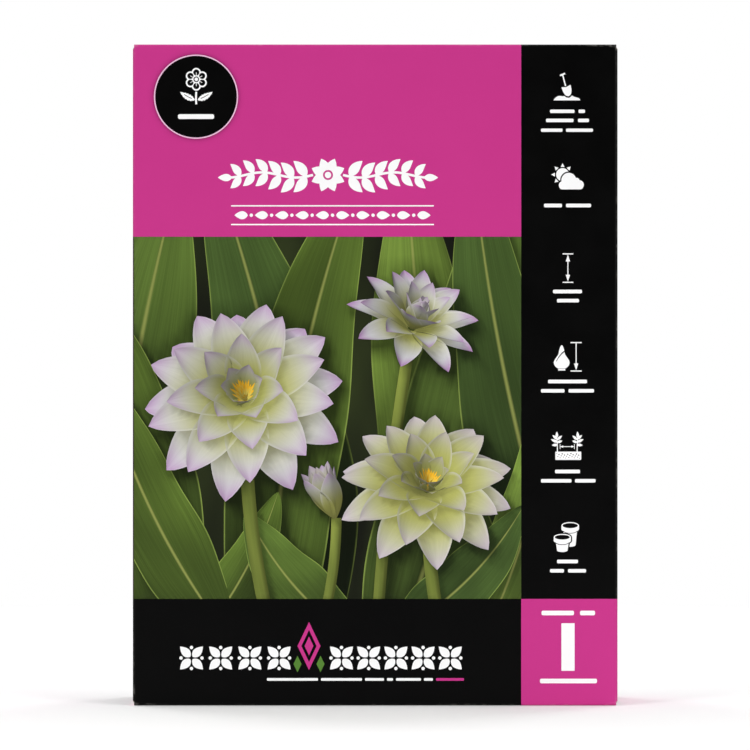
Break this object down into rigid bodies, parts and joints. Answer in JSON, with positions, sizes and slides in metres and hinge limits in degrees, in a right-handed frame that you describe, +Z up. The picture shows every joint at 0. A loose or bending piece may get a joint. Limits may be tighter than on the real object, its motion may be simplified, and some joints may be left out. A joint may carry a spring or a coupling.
{
  "type": "flower rhizome carton",
  "caption": "Slim upright tuck-end carton of printed board with a hinged lid, holding a flower rhizome in wood shavings inside a punched clear bag.",
  "frame": {"origin": "middle of the carton's footprint, on the surface it stands on", "axes": "+X to the viewer's right across the front panel, +Y from the front panel to the back panel, +Z up"},
  "size_m": [0.15, 0.038, 0.2045],
  "materials": {
    "printed_board": "satin varnished print",
    "lid_board": "satin varnished print",
    "clear_film": "clear and creased",
    "wood_shavings": "raw",
    "rhizome_skin": "dry papery skin"
  },
  "bodies": {
    "carton": {"carton_body": "printed_board", "film_bag": "clear_film", "shavings": "wood_shavings", "rhizome": "rhizome_skin"},
    "lid": {"carton_lid": "lid_board"}
  },
  "joints": [
    {"name": "lid_hinge", "type": "hinge", "parent": "carton", "child": "lid", "pos_m": [0, -0.019, 0.20385], "axis": [1, 0, 0], "range_deg": [0, 180]}
  ]
}
